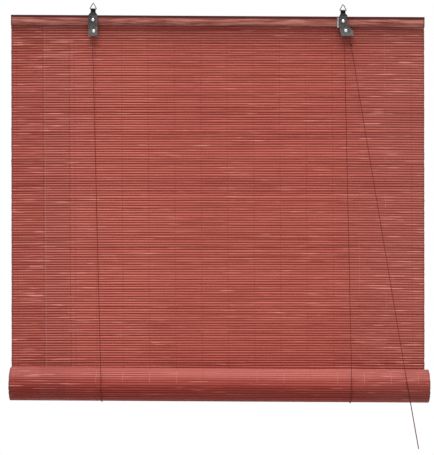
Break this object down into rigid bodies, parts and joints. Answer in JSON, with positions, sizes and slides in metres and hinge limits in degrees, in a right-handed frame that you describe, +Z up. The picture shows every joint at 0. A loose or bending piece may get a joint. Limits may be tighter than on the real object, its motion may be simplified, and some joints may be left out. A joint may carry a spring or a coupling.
{
  "type": "bamboo roller blind",
  "caption": "Stained bamboo slat blind hung from a wooden head rail, its lower end rolled up in cord slings, with pulley housings, hanging rings, a roller cord lock and a pull cord.",
  "frame": {"origin": "centre of the flat land on the rear face of the head rail, which lies against the wall", "axes": "+X along the rail to the right as seen from the room, +Y into the wall, +Z up"},
  "size_m": [1.009, 0.0867, 1.0617],
  "materials": {
    "rail_wood": "stained, satin",
    "bamboo": "stained bamboo, dull",
    "cord": "braided cord, dull",
    "sheet_steel": "zinc plated sheet, satin",
    "bright_steel": "bright plated",
    "brass": "turned brass"
  },
  "bodies": {
    "head": {"head_rail": "rail_wood", "blind_mat": "bamboo", "rail_staples": "bright_steel", "cord_staples": "bright_steel", "left_housing": "sheet_steel", "lock_housing": "sheet_steel", "left_pulley_rivet": "bright_steel", "lock_pulley_rivet": "bright_steel", "left_screw": "bright_steel", "lock_screw": "bright_steel", "left_spacer": "sheet_steel", "lock_spacer": "sheet_steel", "lock_guide_pin": "bright_steel", "left_rear_cord": "cord", "right_rear_cord": "cord", "left_front_cord": "cord", "right_front_cord": "cord", "cross_cord": "cord", "lock_cord": "cord", "cord_knot": "cord", "pull_cord": "cord"},
    "slings": {"left_sling": "cord", "right_sling": "cord", "pull_cord_tail": "cord"},
    "roll": {"mat_roll": "bamboo", "bottom_batten": "rail_wood"},
    "left_pulley": {"left_pulley": "brass"},
    "lock_pulley": {"lock_pulley": "brass"},
    "lock_roller": {"lock_roller": "brass"},
    "left_ring": {"left_ring": "sheet_steel"},
    "right_ring": {"right_ring": "sheet_steel"}
  },
  "joints": [
    {"name": "roll_lift", "type": "slide", "parent": "head", "child": "slings", "axis": [0, 0, 1], "range_m": [0, 0.75], "deforming": ["blind_mat", "left_rear_cord", "right_rear_cord", "left_front_cord", "right_front_cord", "pull_cord"]},
    {"name": "roll_turn", "type": "hinge", "parent": "slings", "child": "roll", "pos_m": [0.009, -0.044, -0.88145], "axis": [1, 0, 0], "range_deg": [-1080, 0]},
    {"name": "left_pulley_turn", "type": "hinge", "parent": "head", "child": "left_pulley", "pos_m": [-0.299, -0.01585, -0.033], "axis": [0, 1, 0], "continuous": true},
    {"name": "lock_pulley_turn", "type": "hinge", "parent": "head", "child": "lock_pulley", "pos_m": [0.309, -0.0167, -0.0286], "axis": [0, 1, 0], "continuous": true},
    {"name": "lock_roller_slide", "type": "slide", "parent": "head", "child": "lock_roller", "axis": [0.9659, 0, 0.2588], "range_m": [0, 0.0035]},
    {"name": "left_ring_swing", "type": "hinge", "parent": "head", "child": "left_ring", "pos_m": [-0.301, -0.0142, 0.0205], "axis": [1, 0, 0], "range_deg": [-85, 85]},
    {"name": "right_ring_swing", "type": "hinge", "parent": "head", "child": "right_ring", "pos_m": [0.3025, -0.0142, 0.0205], "axis": [1, 0, 0], "range_deg": [-85, 85]}
  ],
  "couplings": [
    {"joint": "roll_turn", "follows": "roll_lift", "rad_per_m": -25.126},
    {"joint": "left_pulley_turn", "follows": "roll_lift", "rad_per_m": 540.54},
    {"joint": "lock_pulley_turn", "follows": "roll_lift", "rad_per_m": 540.54}
  ]
}
